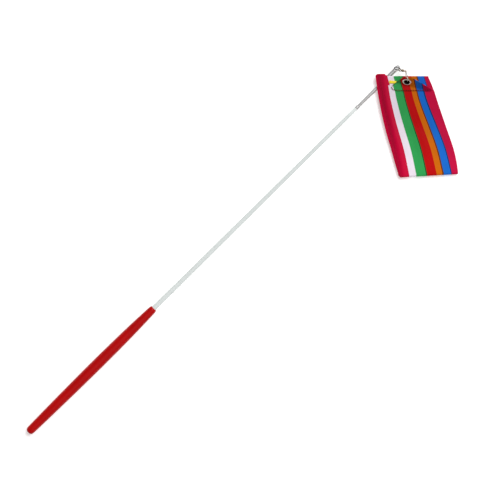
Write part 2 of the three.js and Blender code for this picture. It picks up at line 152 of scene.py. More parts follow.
SNAP = basis(REAR_EYE_AT + SNAP_LINE * SNAP_BEND * MM, SNAP_LINE, SNAP_SIDE.cross(SNAP_LINE))

# The pack's frame: x along its top end, y up from it, z off the wand.
PACK_ORIGIN = Vector((0.22035, 0.060369, 0.004714))
PACK_TURN = math.radians(-44.66)
PACK_TILT = math.radians(2.1147)
PACK = (
    Matrix.Translation(PACK_ORIGIN)
    @ Matrix.Rotation(PACK_TILT, 4, "X")
    @ Matrix.Rotation(PACK_TURN, 4, "Z")
    @ Matrix.Scale(MM, 4)
)
TAB_HEIGHT = PACK_THICKNESS + 0.3
BEND_FROM_EYELET = EYELET_RADIUS * math.cos(TAB_BEND_TILT) + 0.6
up_slope = Vector((-math.sin(EYELET_TURN), math.cos(EYELET_TURN), 0))
eyelet_origin = Vector((*EYELET_AT, TAB_HEIGHT + BEND_FROM_EYELET * math.tan(TAB_BEND_TILT)))
EYELET_IN_PACK = (
    Matrix.Translation(eyelet_origin)
    @ Matrix.Rotation(EYELET_TURN, 4, "Z")
    @ Matrix.Rotation(TAB_BEND_TILT, 4, "X")
)
EYELET = PACK @ EYELET_IN_PACK

# ------------------------------------------------------------ camera

VIEW_CENTRE = Vector((0.01615, 0.0402, 0))
VIEW_SPAN = 0.4608  # metres seen across the picture
VIEW_DISTANCE = 3.0
VIEW_TURN = math.radians(-44.66)
SENSOR = 36

camera = bpy.data.objects.new("camera", bpy.data.cameras.new("camera"))
camera.data.sensor_width = SENSOR
camera.data.lens = SENSOR * VIEW_DISTANCE / VIEW_SPAN
camera.data.clip_end = 20
camera.location = VIEW_CENTRE + UP * VIEW_DISTANCE
camera.rotation_euler = (0, 0, VIEW_TURN)
bpy.context.scene.collection.objects.link(camera)
bpy.context.scene.camera = camera

# ------------------------------------------------------------ mesh helpers


def new_mesh(name, points, faces, coordinates=None):
    """A smooth mesh object from points in metres, with optional UV coordinates for each point."""
    mesh = bpy.data.meshes.new(name)
    mesh.from_pydata([tuple(p) for p in points], [], faces)
    if coordinates:
        layer = mesh.uv_layers.new(name="UVMap")
        for loop in mesh.loops:
            layer.data[loop.index].uv = coordinates[loop.vertex_index]
    mesh.shade_smooth()
    mesh.update()
    obj = bpy.data.objects.new(name, mesh)
    bpy.context.scene.collection.objects.link(obj)
    return obj


def skin(rings, looped=False, capped=True):
    """Quads between rings of points, with the two end rings closed by a face."""
    sides = len(rings[0])
    points = [p for ring in rings for p in ring]
    faces = []
    last = len(rings) if looped else len(rings) - 1
    for i in range(last):
        j = (i + 1) % len(rings)
        for a in range(sides):
            b = (a + 1) % sides
            faces.append((i * sides + a, i * sides + b, j * sides + b, j * sides + a))
    if capped and not looped:
        faces.append(tuple(reversed(range(sides))))
        faces.append(tuple(range((len(rings) - 1) * sides, len(rings) * sides)))
    return points, faces


def turned(profile, sides=48, looped=False):
    """A body turned about X from (x, radius) points, counted so that its faces look out."""
    rings = []
    for x, radius in profile:
        turns = [2 * math.pi * i / sides for i in range(sides)]
        rings.append([Vector((x, radius * math.cos(t), radius * math.sin(t))) for t in turns])
    return skin(rings, looped, capped=not looped)


def tube(path, radius, sides=16, looped=False, swell=None):
    """A round wire along points. swell(i) scales its radius at each point."""
    rings = []
    count = len(path)
    side = None
    for i, point in enumerate(path):
        before = path[i - 1] if (i or looped) else path[0]
        after = path[(i + 1) % count] if (i + 1 < count or looped) else path[-1]
        along = (after - before).normalized()
        if side is None:
            side = along.orthogonal().normalized()
        side = (side - along * side.dot(along)).normalized()
        other = along.cross(side)
        r = radius * (swell(i) if swell else 1)
        turns = [2 * math.pi * a / sides for a in range(sides)]
        rings.append([point + side * r * math.cos(t) + other * r * math.sin(t) for t in turns])
    return skin(rings, looped)


def joined(*shapes):
    """Several (points, faces) shapes as one."""
    points = []
    faces = []
    for shape_points, shape_faces in shapes:
        start = len(points)
        points += shape_points
        faces += [tuple(start + i for i in face) for face in shape_faces]
    return points, faces


def piece(name, place, shape, material, body, *nodes, coordinates=None):
    """A shape in its frame as a finished piece that rides on a body and stands for CAD nodes."""
    points, faces = shape
    obj = new_mesh(name, [place @ Vector(p) for p in points], faces, coordinates)
    obj.data.materials.append(material)
    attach(obj, body)
    if nodes:
        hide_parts(*nodes)
    return obj


def rounded(corners, radius, steps=4):
    """A profile with each inner corner rounded off."""
    out = [corners[0]]
    for before, corner, after in zip(corners, corners[1:], corners[2:]):
        a, c, b = Vector(before), Vector(corner), Vector(after)
        reach = min(radius, (a - c).length * 0.45, (b - c).length * 0.45)
        start = c + (a - c).normalized() * reach
        end = c + (b - c).normalized() * reach
        for i in range(steps + 1):
            t = i / steps
            bend = start * (1 - t) ** 2 + c * 2 * t * (1 - t) + end * t ** 2
            out.append(tuple(bend))
    out.append(corners[-1])
    return out


def smoothstep(low, high, value):
    t = min(max((value - low) / (high - low), 0), 1)
    return t * t * (3 - 2 * t)


def along_points(points, x):
    """The height at x of a smooth line through a few (x, height) points in rising order."""
    if x <= points[0][0]:
        return points[0][1]
    if x >= points[-1][0]:
        return points[-1][1]
    k = next(i for i in range(len(points) - 1) if x <= points[i + 1][0])
    (x0, y0), (x1, y1) = points[k], points[k + 1]

    def slope(i):
        a, b = points[max(i - 1, 0)], points[min(i + 1, len(points) - 1)]
        return (b[1] - a[1]) / (b[0] - a[0])

    span = x1 - x0
    t = (x - x0) / span
    rise = (2 * t ** 3 - 3 * t ** 2 + 1) * y0 + (3 * t ** 2 - 2 * t ** 3) * y1
    return rise + span * ((t ** 3 - 2 * t ** 2 + t) * slope(k) + (t ** 3 - t ** 2) * slope(k + 1))


def straight_line(points, x):
    """The height at x of the broken line through (x, height) points."""
    k = next((i for i in range(len(points) - 2) if x <= points[i + 1][0]), len(points) - 2)
    (x0, y0), (x1, y1) = points[k], points[k + 1]
    return y0 + (y1 - y0) * (x - x0) / (x1 - x0)


# ------------------------------------------------------------ materials


class Nodes:
    """A material's node tree with short calls for what the finishes here need."""

    def __init__(self, name):
        self.material = bpy.data.materials.new(name)
        self.material.use_nodes = True
        self.tree = self.material.node_tree
        self.shader = self.tree.nodes["Principled BSDF"]

    def add(self, kind, inputs=None, **settings):
        made = self.tree.nodes.new("ShaderNode" + kind)
        for key, value in settings.items():
            setattr(made, key, value)
        for key, value in (inputs or {}).items():
            self.feed(made.inputs[key], value)
        return made

    def feed(self, socket, value):
        if isinstance(value, bpy.types.NodeSocket):
            self.tree.links.new(value, socket)
        else:
            socket.default_value = value

    def place(self, stretch=(1, 1, 1), use="Object"):
        source = self.add("TexCoord").outputs[use]
        return self.add("Mapping", {"Vector": source, "Scale": stretch}).outputs[0]

    def grain(self, scale, stretch=(1, 1, 1), detail=4, use="Object"):
        where = self.place(stretch, use)
        made = self.add("TexNoise", {"Vector": where, "Scale": scale, "Detail": detail})
        return made.outputs["Fac"]

    def between(self, value, low, high, start=0.3, end=0.7):
        return self.add("MapRange", {
            "Value": value, "From Min": start, "From Max": end, "To Min": low, "To Max": high,
        }).outputs[0]

    def ramp(self, value, stops, interpolation="LINEAR"):
        made = self.add("ValToRGB", {"Fac": value})
        made.color_ramp.interpolation = interpolation
        elements = made.color_ramp.elements
        while len(elements) < len(stops):
            elements.new(0.5)
        for element, (position, colour) in zip(elements, stops):
            element.position = position
            element.color = (*colour, 1)
        return made.outputs["Color"]

    def bump(self, height, depth, strength=1.0, under=None):
        made = self.add("Bump", {"Height": height, "Distance": depth, "Strength": strength})
        if under:
            self.feed(made.inputs["Normal"], under)
        return made.outputs[0]

    def set(self, **sockets):
        for key, value in sockets.items():
            self.feed(self.shader.inputs[key.replace("_", " ")], value)
        return self.material


def shade(colour, factor):
    return tuple(min(channel * factor, 1) for channel in colour)


def moulded(name, colour, roughness, spread=0.08, gloss=0.3):
    """Moulded plastic: faint cloudy colour, fine pebbled skin and small handling marks."""
    nodes = Nodes(name)
    cloud = nodes.grain(60, detail=5)
    tone = nodes.ramp(cloud, [(0.3, shade(colour, 1 - spread)), (0.7, shade(colour, 1 + spread))])
    marks = nodes.grain(900, stretch=(0.15, 1, 1))
    skin_bump = nodes.bump(nodes.grain(2600), 0.00003, 0.5)
    return nodes.set(
        Base_Color=tone,
        Roughness=nodes.between(marks, roughness - 0.07, roughness + 0.07),
        Normal=nodes.bump(marks, 0.00002, 0.4, skin_bump),
        Specular_IOR_Level=gloss,
    )


def metal(name, colour, roughness, tarnish=0.7, stretch=(1, 1, 1)):
    """Plated or bare metal: a little uneven tarnish, with fine rubbed marks."""
    nodes = Nodes(name)
    cloud = nodes.grain(420, detail=5)
    tone = nodes.ramp(cloud, [(0.35, shade(colour, tarnish)), (0.6, colour)])
    marks = nodes.grain(3200, stretch=stretch)
    return nodes.set(
        Base_Color=tone,
        Metallic=1.0,
        Roughness=nodes.between(marks, roughness - 0.06, roughness + 0.12),
        Normal=nodes.bump(marks, 0.00001, 0.35),
    )


# The ribbon's stripes: where each ends across the width, and its colour.
CRIMSON = (0.49, 0.001, 0.034)
WHITE = (0.72, 0.645, 0.72)
GREEN = (0.026, 0.30, 0.072)
RED = (0.43, 0.001, 0.002)
ORANGE = (0.53, 0.117, 0.0)
BLUE = (0.007, 0.122, 0.51)
PINK_CRIMSON = (0.48, 0.002, 0.044)
STRIPES = [
    (0.146, CRIMSON), (0.262, WHITE), (0.437, GREEN), (0.603, RED),
    (0.714, ORANGE), (0.852, BLUE), (1.0, PINK_CRIMSON),
]
DARK_JOINS = (0.437, 0.714, 0.852)  # stripes that meet with a dark line of overlapping dye
JOIN_WIDTH = 0.011
TURN_IN_WIDTHS = 3.8  # one turn of the winding, counted in ribbon widths


def stripe_stops():
    stops = []
    start = 0.0
    for end, colour in STRIPES:
        stops.append((start, colour))
        if end in DARK_JOINS:
            stops.append((end - JOIN_WIDTH, shade(colour, 0.22)))
            start = end + JOIN_WIDTH
        else:
            start = end
    return stops


def satin(name):
    """Striped satin: long glossy warp floats, a fine weft rib and soft pressed creases.

    V counts ribbon widths back from the sewn end. A painted sheen makes the cloth paler round each
    bottom fold.
    """
    nodes = Nodes(name)
    spot = nodes.add("TexCoord").outputs["UV"]
    across, along, _ = nodes.add("SeparateXYZ", {"Vector": spot}).outputs
    ragged = nodes.between(nodes.grain(420, stretch=(1, 0.5, 1), use="UV"), -0.0016, 0.0016)
    edge = nodes.add("Math", {0: across, 1: ragged}, operation="ADD").outputs[0]
    stripes = nodes.ramp(edge, stripe_stops(), "CONSTANT")
    threads = nodes.grain(60, stretch=(6, 0.5, 1), detail=2, use="UV")
    cloud = nodes.grain(3, stretch=(2, 1, 1), detail=3, use="UV")
    dark = nodes.add("Mix", {6: stripes, 7: (0.82, 0.82, 0.84, 1)}, data_type="RGBA",
                     blend_type="MULTIPLY")
    nodes.feed(dark.inputs["Factor"], nodes.between(threads, 0.0, 0.55))
    # Painted sheen: once each turn of the winding the stripes are multiplied up to 1.3 times brighter,
    # with random tone from the cloud added on top.
    turning = nodes.add("Math", {0: along, 1: 2 * math.pi / TURN_IN_WIDTHS}, operation="MULTIPLY")
    sheen_wave = nodes.add("Math", {0: turning.outputs[0]}, operation="COSINE").outputs[0]
    painted_sheen = nodes.between(sheen_wave, 1.0, 0.0, -0.9, 0.7)
    uneven = nodes.add("Math", {0: painted_sheen, 1: nodes.between(cloud, -0.25, 0.25)}, operation="ADD")
    soft = nodes.add("Mix", {6: dark.outputs[2], 7: (1.3, 1.3, 1.3, 1)}, data_type="RGBA",
                     blend_type="MULTIPLY")
    nodes.feed(soft.inputs["Factor"], uneven.outputs[0])
    weft = nodes.add("TexWave", {"Vector": nodes.place((1, 1, 1), "UV"), "Scale": 62,
                                 "Distortion": 1.2, "Detail": 2},
                     bands_direction="Y").outputs["Fac"]
    creases = nodes.bump(nodes.grain(1.6, stretch=(5, 1, 1), detail=3, use="UV"), 0.0005, 0.55)
    rib = nodes.bump(weft, 0.00002, 0.4, creases)
    return nodes.set(
        Base_Color=soft.outputs[2],
        Roughness=nodes.between(threads, 0.42, 0.58),
        Normal=nodes.bump(threads, 0.00004, 0.5, rib),
        Anisotropic=0.45,
        Sheen_Weight=0.02,
        Sheen_Roughness=0.4,
        Specular_IOR_Level=0.07,
    )


def thread_finish(name, colour):
    """Twisted sewing thread with a fuzzy, uneven tone."""
    nodes = Nodes(name)
    twist = nodes.grain(2400, stretch=(1, 1, 2))
    tone = nodes.ramp(twist, [(0.3, shade(colour, 0.55)), (0.7, shade(colour, 1.25))])
    return nodes.set(
        Base_Color=tone,
        Roughness=nodes.between(twist, 0.7, 0.9),
        Normal=nodes.bump(twist, 0.00006, 0.6),
        Specular_IOR_Level=0.15,
    )


def rubber(name, colour):
    """Matte stretched rubber, paler where it is dusty."""
    nodes = Nodes(name)
    dust = nodes.grain(900, detail=5)
    tone = nodes.ramp(dust, [(0.35, colour), (0.75, shade(colour, 1.25))])
    return nodes.set(
        Base_Color=tone,
        Roughness=nodes.between(dust, 0.45, 0.7),
        Normal=nodes.bump(dust, 0.00008, 0.5),
    )


def floor_finish():
    """A pale matt table top with the faintest mottling."""
    nodes = Nodes("floor_paper")
    mottle = nodes.grain(9, detail=3)
    tone = nodes.ramp(mottle, [(0.3, (0.93, 0.93, 0.93)), (0.7, (0.95, 0.95, 0.95))])
    return nodes.set(
        Base_Color=tone,
        Roughness=nodes.between(mottle, 0.8, 0.9),
        Emission_Color=(1, 1, 1, 1),
        Emission_Strength=0.36,
    )


grip_red = moulded("grip_red", (0.42, 0.001, 0.001), 0.34, gloss=0.13)
fibre_white = moulded("fibre_white", (0.69, 0.73, 0.715), 0.45, 0.03, gloss=0.1)
nickel = metal("nickel", (0.64, 0.635, 0.63), 0.5, 0.85)
ferrule_metal = metal("ferrule_metal", (0.50, 0.50, 0.50), 0.5, 0.85, stretch=(0.2, 1, 1))
dark_wire = metal("dark_wire", (0.055, 0.052, 0.05), 0.42, 0.6)
brass = metal("brass", (0.42, 0.32, 0.22), 0.34, 0.55)
spring_wire = metal("spring_wire", (0.66, 0.60, 0.50), 0.25)
eyelet_metal = metal("eyelet_metal", (0.88, 0.83, 0.80), 0.24, 0.85)
satin_stripes = satin("satin_stripes")
brown_thread = thread_finish("brown_thread", (0.15, 0.012, 0.008))
# A near-black metal used only as painted shade inside the eyelet's hole.
bore_painted_shade = metal("bore_painted_shade", (0.02, 0.02, 0.02), 0.6, 0.5)
yellow_rubber = rubber("yellow_rubber", (0.78, 0.60, 0.01))

# ------------------------------------------------------------ wand


def grip_profile():
    """The grip's side from the butt to its square-cut front, then the mouth of its bore."""
    profile = [(0.0, NEAR_AXIS), (0.0, GRIP_BUTT_FLAT)]
    steps = 70
    start = 0.02
    front = GRIP_OUTLINE[-1][0]
    for i in range(1, steps + 1):
        x = start + (front - start) * (i / steps) ** 1.6  # steps are shortest at the butt
        profile.append((x, along_points(GRIP_OUTLINE, x)))
    bore = ROD_RADIUS + GRIP_BORE_ROOM
    profile += rounded([GRIP_SHOULDER, (GRIP_LENGTH, GRIP_FRONT_RADIUS), (GRIP_LENGTH, bore)], 0.5)
    bottom = GRIP_LENGTH - GRIP_BORE_DEPTH
    profile += [(bottom, bore), (bottom, NEAR_AXIS)]
    return profile


piece("grip_moulding", WAND, turned(grip_profile(), 96), grip_red, "wand", "grip")


def rod_profile():
    """The rod from inside the grip, tapering to a thinner core inside the collar."""
    profile = [(ROD_FROM, NEAR_AXIS), (ROD_FROM, ROD_RADIUS)]
    steps = 24
    for step in range(steps + 1):
        share = step / steps
        reach = GRIP_LENGTH + share * (COLLAR_AT - 1.2 - GRIP_LENGTH)
        profile.append((reach, ROD_RADIUS + share * (ROD_END_RADIUS - ROD_RADIUS)))
    core_from = COLLAR_AT - 1.1
    profile += [(core_from, ROD_CORE_RADIUS), (ROD_TO, ROD_CORE_RADIUS), (ROD_TO, NEAR_AXIS)]
    return profile


piece("rod_shaft", WAND, turned(rod_profile(), 64), fibre_white, "wand", "rod")

collar_profile = rounded([
    (COLLAR_FROM, ROD_END_RADIUS - 0.05), (COLLAR_FROM, 1.88), (COLLAR_AT, COLLAR_RADIUS),
    (COLLAR_TO, 1.85), (COLLAR_TO, PIN_RADIUS - 0.05),
], 0.25)
piece("tip_collar_ring", WAND, turned(collar_profile, 64), nickel, "wand", "tip_collar")

pin_profile = rounded([
    (PIN_FROM, NEAR_AXIS), (PIN_FROM, PIN_RADIUS), (FERRULE_FROM - 1.3, PIN_FRONT_RADIUS),
    (FERRULE_FROM - 0.3, PIN_CORE_RADIUS), (PIN_TO, PIN_CORE_RADIUS), (PIN_TO, NEAR_AXIS),
], 0.2)
piece("tip_pin_rod", WAND, turned(pin_profile, 48), nickel, "wand", "tip_pin")


def ferrule_shape():
    """A tube over the pin, pressed flat towards its end. Its cross hole is cut afterwards."""
    sides = 48
    rings = []
    steps = 40
    mouth = [
        (FERRULE_FROM + 1.5, FERRULE_BORE_RADIUS), (FERRULE_FROM, FERRULE_BORE_RADIUS),
        (FERRULE_FROM, FERRULE_RADIUS - 0.12),
    ]
    for x, radius in mouth:
        turns = [2 * math.pi * a / sides for a in range(sides)]
        rings.append([Vector((x, radius * math.cos(t), radius * math.sin(t))) for t in turns])
    for i in range(steps + 1):
        x = FERRULE_FROM + 0.5 + (WAND_LENGTH - FERRULE_FROM - 0.5) * i / steps
        press = smoothstep(BLADE_FROM - 2.4, BLADE_FROM + 0.2, x)
        half_height = FERRULE_RADIUS * (1 - press) + BLADE_THICKNESS / 2 * press
        past = max(x - (WAND_LENGTH - 1.9), 0) / 1.95
        half_width = FERRULE_RADIUS * (1 + 0.02 * press) * math.sqrt(max(1 - past * past, 0.01))
        ring = []
        for a in range(sides):
            t = 2 * math.pi * a / sides
            squareness = 1 - 0.55 * press
            c, s = math.cos(t), math.sin(t)
            y = half_width * math.copysign(abs(c) ** squareness, c)
            z = half_height * math.copysign(abs(s) ** squareness, s)
            ring.append(Vector((x, y, z)))
        rings.append(ring)
    return skin(rings)


ferrule = piece("tip_ferrule_tube", WAND, ferrule_shape(), ferrule_metal, "wand", "tip_ferrule")
through_flat = Matrix.Translation((HOLE_AT, 0, 0)) @ Matrix.Rotation(math.pi / 2, 4, "Y")
drill_points, drill_faces = turned([(-3, HOLE_RADIUS), (3, HOLE_RADIUS)], 32)
drill = new_mesh("drill", [WAND @ (through_flat @ Vector(p)) for p in drill_points], drill_faces)
bore = ferrule.modifiers.new("hole", "BOOLEAN")
bore.object = drill
bore.operation = "DIFFERENCE"
bpy.context.view_layer.objects.active = ferrule
ferrule.select_set(True)
bpy.ops.object.modifier_apply(modifier="hole")
bpy.data.objects.remove(drill)

# ------------------------------------------------------------ ring, swivel and snap


def circle(radius, count=48, start=0.0, end=2 * math.pi, centre=(0, 0)):
    """Points on an arc in the XY plane; a whole turn leaves out its repeated last point."""
    whole = abs(end - start) > 2 * math.pi - 1e-6
    steps = count if whole else count - 1
    turns = [start + (end - start) * i / steps for i in range(count)]
    return [Vector((centre[0] + radius * math.cos(t), centre[1] + radius * math.sin(t), 0))
            for t in turns]


def eye_shape():
    """A wire eye twisted into a stem that ends in a head inside the barrel."""
    loop = tube(circle(EYE_RADIUS, 40), EYE_WIRE, 14, looped=True)
    head_at = EYE_TO_BARREL - 0.3
    stem = turned(rounded([
        (EYE_RADIUS - 0.1, 0.05), (EYE_RADIUS - 0.1, EYE_WIRE * 1.15), (EYE_RADIUS + 0.6, EYE_WIRE),
        (head_at - 0.4, EYE_WIRE), (head_at - 0.35, EYE_WIRE * 2), (head_at, EYE_WIRE * 2),
        (head_at, 0.05),
    ], 0.12), 20)
    return joined(loop, stem)


def barrel_shape():
    half = BARREL_LENGTH / 2
    hole = EYE_WIRE + 0.2
    outside = [
        (-half + 0.4, hole), (-half, hole), (-half, BARREL_RADIUS * 0.72),
        (-half * 0.55, BARREL_RADIUS), (half * 0.55, BARREL_RADIUS), (half, BARREL_RADIUS * 0.72),
        (half, hole), (half - 0.4, hole), (half - 0.4, EYE_WIRE * 2 + 0.2),
        (-half + 0.4, EYE_WIRE * 2 + 0.2),
    ]
    return turned(rounded(outside, 0.3) + [outside[0]], 36)


def snap_path(gate_from, gate_to):
    near = circle(SNAP_BEND, 14, math.pi / 2, 3 * math.pi / 2)
    far = circle(SNAP_BEND, 14, -math.pi / 2, math.pi / 2, (SNAP_REACH, 0))
    start = [Vector((gate_from - 0.25, SNAP_BEND, 0)), Vector((gate_from - 0.7, SNAP_BEND, 0))]
    leg = [Vector((SNAP_REACH * share, -SNAP_BEND, 0)) for share in (0.3, 0.5, 0.7)]
    lip = [Vector((gate_to + 0.55, SNAP_BEND, 0))]
    return start + near + leg + far + lip


GATE_FROM = 1.2
GATE_TO = SNAP_REACH - 0.6

piece("tip_ring_wire", RING, tube(circle(RING_RADIUS, 64), RING_WIRE, 18, looped=True),
      dark_wire, "ring", "tip_ring")
piece("front_eye_wire", FRONT_EYE, eye_shape(), brass, "swivel", "swivel_front_eye")
piece("barrel_shell", BARREL, barrel_shape(), brass, "barrel", "swivel_barrel")
piece("rear_eye_wire", REAR_EYE, eye_shape(), brass, "rear_eye", "swivel_rear_eye")
piece("snap_wire", SNAP, tube(snap_path(GATE_FROM, GATE_TO), SNAP_WIRE, 16), spring_wire,
      "snap", "snap_hook")
gate_line = [Vector((GATE_FROM + (GATE_TO - GATE_FROM) * i / 12, SNAP_BEND, 0)) for i in range(13)]
piece("snap_gate_wire", SNAP,
      tube(gate_line, SNAP_WIRE * 0.85, 16, swell=lambda i: 1.5 if i > 10 else 1.0),
      dark_wire, "gate", "snap_gate")

# ------------------------------------------------------------ wound ribbon

# The pack's edges: (level below the top end, distance right of the pack's corner).
LEFT_EDGE = [(0, 2.8), (16, 4.9), (34, 8.3), (48, 11.4), (72, 17.6), (98, 22.7)]
RIGHT_EDGE = [(0, 49.5), (9, 53.3), (26, 58.5), (48, 65.6), (72, 73.3), (86, 76.4), (98, 78.0)]
# On the two outermost turns the first six stripes take their shares of this width, and the
# last one takes what is left up to the right edge: (level, width).
STRIPE_SPAN = [(0, 46.4), (19, 47.6), (34, 50.3), (48, 53.2), (72, 56.1), (98, 57.4)]
# How far the inner turns stand out on the left: (level, distance).
TELESCOPE = [(0, 4.0), (30, 4.3), (62, 4.2), (84, 3.1), (98, 1.7)]
# Near the top the last turn but one has its own stripes: where they start, and their width.
UNDER_LEFT_EDGE = [(0, 2.8), (16, 7.4), (40, 11.4)]
UNDER_WIDTH = 50.1
ACROSS = 32
RUN_ROWS = 26
FOLD_ROWS = 9
TOP_FOLD_AT = -2.0
TOP_STEP = 2.2  # how much higher the fold stands over the left stripe
TOP_CORNER_DROP = 2.6
BOTTOM_FOLD_AT = -96.2
BOTTOM_CORNER_AT = 22.6  # the bottom fold rises to the right of here
BOTTOM_RISE = 3.3
BOTTOM_RISE_OVER = 55
INNER_SHORTFALL = 4.6  # the innermost turns are this much shorter at the bottom
SLOPE_DROP = 3.8
CREST_HEIGHT = 0.7
CREST_FROM_EDGE = 4.0
CREST_SPREAD = 2.6
BROAD_WAVE = 0.32
FINE_WAVE = 0.1
TAB_OVERLAP = 1.5  # how far the outer end runs on under the tab
BESIDE_TAB_RISE = 5.2
FIRST_LAYER = 0.06
LAYER_PITCH = (PACK_THICKNESS / 2 - FIRST_LAYER - 0.05) / (RIBBON_TURNS - 1)


def top_level(x):
    """The top fold stands a little higher over the left stripe, and its corner is rounded."""
    corner = TOP_CORNER_DROP * (1 - smoothstep(-3.0, 0.6, x))
    return TOP_FOLD_AT + TOP_STEP * (1 - smoothstep(7.4, 10.2, x)) - corner


def bottom_level(x, depth):
    """The bottom fold rises to the right, and the deeper turns stop short of it."""
    rise = BOTTOM_RISE * (x - BOTTOM_CORNER_AT) / BOTTOM_RISE_OVER
    return BOTTOM_FOLD_AT + rise + INNER_SHORTFALL * depth


def turn_shift(turn, level):
    """How far left a turn sits: the outer three step back on to the telescoped core."""
    wander = 0.2 * math.sin(turn * 2.3) + 0.15 * math.sin(turn * 5.1 + 1)
    steps = {RIBBON_TURNS - 1: 0.0, RIBBON_TURNS - 2: 0.06, RIBBON_TURNS - 3: 0.5}
    return along_points(TELESCOPE, level) * steps.get(turn, 0.95) + wander * (turn not in steps)


def shoulder(x, level):
    """The left stripe rises to a soft crest; left of it the telescoped turns slope away."""
    from_edge = x - along_points(LEFT_EDGE, level)
    slope = SLOPE_DROP * (1 - smoothstep(-4.0, 2.6, from_edge))
    crest = CREST_HEIGHT * math.exp(-((from_edge - CREST_FROM_EDGE) / CREST_SPREAD) ** 2)
    return crest - slope


def waviness(x, y):
    """Slow uneven height of pressed cloth, in millimetres."""
    broad = noise.noise(Vector((x * 0.035, y * 0.022, 3.1)))
    fine = noise.noise(Vector((x * 0.11 + y * 0.03, y * 0.05, 7.7)))
    return BROAD_WAVE * broad + FINE_WAVE * fine


def strip_point(turn, height, level_share, across, fold=0.0):
    """A point of the ribbon in the pack's frame.

    height is its layer above or below the middle, level_share runs from 0 at the top fold to 1
    at the bottom one, and fold pushes it out beyond the fold line.
    """
    depth = 1 - turn / (RIBBON_TURNS - 1)
    level = PACK_LENGTH * level_share
    left = along_points(LEFT_EDGE, level)
    right = along_points(RIGHT_EDGE, level)
    x = left + across * (right - left)
    if turn >= RIBBON_TURNS - 2:
        span = along_points(STRIPE_SPAN, level)
        last = (STRIPES[-2][0], left + STRIPES[-2][0] * span)
        x = straight_line([(0, left), last, (1, right)], across)
    if turn == RIBBON_TURNS - 2:
        under = along_points(UNDER_LEFT_EDGE, level)
        first, last = (STRIPES[k][0] for k in (0, -2))
        spread = [(0, left), (first, under + first * UNDER_WIDTH),
                  (last, under + last * UNDER_WIDTH), (1, right)]
        x += (straight_line(spread, across) - x) * (1 - smoothstep(20, 42, level))
    x -= turn_shift(turn, level)
    top = top_level(x) - 0.7 * depth
    bottom = bottom_level(x, min(depth * 2.2, 1) if turn < RIBBON_TURNS - 2 else 0)
    y = top + (bottom - top) * level_share + fold
    lift = (height + PACK_THICKNESS / 2) / PACK_THICKNESS
    shape = (waviness(x, y) + shoulder(x, -y)) * lift ** 1.5
    return Vector((x, y, PACK_THICKNESS / 2 + height + shape))


def strip_rows():
    """Each row of the wound strip, from the core to the outer end, as a function of across."""
    rows = []
    for turn in range(RIBBON_TURNS):
        outside = turn == RIBBON_TURNS - 1
        height = FIRST_LAYER + LAYER_PITCH * turn
        below = height + LAYER_PITCH / 2
        top_bulge = min(0.4 + height * 0.35, 1.2)
        bottom_bulge = 0.3 + height * 0.65
        for i in range(RUN_ROWS + 1):
            share = 1 - i / RUN_ROWS
            rows.append((turn, height, share, 0.0))
        if outside:
            break
        for i in range(1, FOLD_ROWS):
            t = math.pi * i / FOLD_ROWS
            rows.append((turn, height * math.cos(t), 0.0, top_bulge * math.sin(t)))
        for i in range(RUN_ROWS + 1):
            rows.append((turn, -height, i / RUN_ROWS, 0.0))
        for i in range(1, FOLD_ROWS):
            t = math.pi * i / FOLD_ROWS
            mean = (height + below) / 2
            rows.append((turn + i / FOLD_ROWS, -mean * math.cos(t), 1.0, -bottom_bulge * math.sin(t)))
    return rows


def outer_end_share(across):
    """Where the outermost run stops: under the tab, and a little higher left of it."""
    beside_tab = 1 - smoothstep(0.2, 0.34, across)
    return (-TAB_SEAM_AT - TAB_OVERLAP - BESIDE_TAB_RISE * beside_tab) / PACK_LENGTH


def wound_ribbon():
    rows = strip_rows()
    last_run = len(rows) - RUN_ROWS - 1
    points = []
    coordinates = []
    lengths = 0.0
    previous = None
    for r, (turn, height, share, fold) in enumerate(rows):
        row = []
        for a in range(ACROSS + 1):
            across = a / ACROSS
            place = share
            if r >= last_run:
                end = outer_end_share(across)
                place = end + (1 - end) * share
            lower = int(turn)
            part = turn - lower
            point = strip_point(lower, height, place, across, fold)
            if part:
                following = min(lower + 1, RIBBON_TURNS - 1)
                point = point.lerp(strip_point(following, height, place, across, fold), part)
            row.append(point)
        if previous:
            lengths += (row[ACROSS // 2] - previous[ACROSS // 2]).length
        previous = row
        points += row
        coordinates += [(a / ACROSS, lengths) for a in range(ACROSS + 1)]
    coordinates = [(across, (lengths - run) / RIBBON_WIDTH) for across, run in coordinates]
    faces = []
    stride = ACROSS + 1
    for r in range(len(rows) - 1):
        for a in range(ACROSS):
            corner = r * stride + a
            faces.append((corner, corner + 1, corner + stride + 1, corner + stride))
    print("wound ribbon length, mm:", round(lengths))
    return (points, faces), coordinates


strip, strip_coordinates = wound_ribbon()
ribbon = piece("wound_ribbon", PACK, strip, satin_stripes, "ribbon", "ribbon_pack",
               coordinates=strip_coordinates)
cloth = ribbon.modifiers.new("thickness", "SOLIDIFY")
cloth.thickness = RIBBON_THICKNESS * MM
cloth.offset = 0
ribbon.modifiers.new("flat_faces", "WEIGHTED_NORMAL")

# ------------------------------------------------------------ tab, eyelet, seams and band

TAB_CORNERS = [
    (19.2, -15.4), (54.6, -14.9), (41.3, -7.2), (32.4, -2.5), (23.9, -2.4), (14.2, -9.8),
    (13.2, -11.6), (14.2, -13.2), (16.4, -14.2),
]
TAB_STRIPES_FROM = 3.8  # where the stripes would start at the seam's level
TAB_STRIPES_LEAN = 0.28
TAB_STRIPE_SPAN = 47.7
TAB_HOLE = 3.05
TAB_RINGS = 14
TAB_SPOKES = 120


def tab_rise(x, y):
    """The tab's underside above the pack: level, then standing up past the bend line."""
    up = (Vector((x, y, 0)) - Vector((*EYELET_AT, 0))).dot(up_slope) + BEND_FROM_EYELET
    soft = 0.8
    return math.tan(TAB_BEND_TILT) * 0.5 * (up + math.sqrt(up * up + soft * soft))


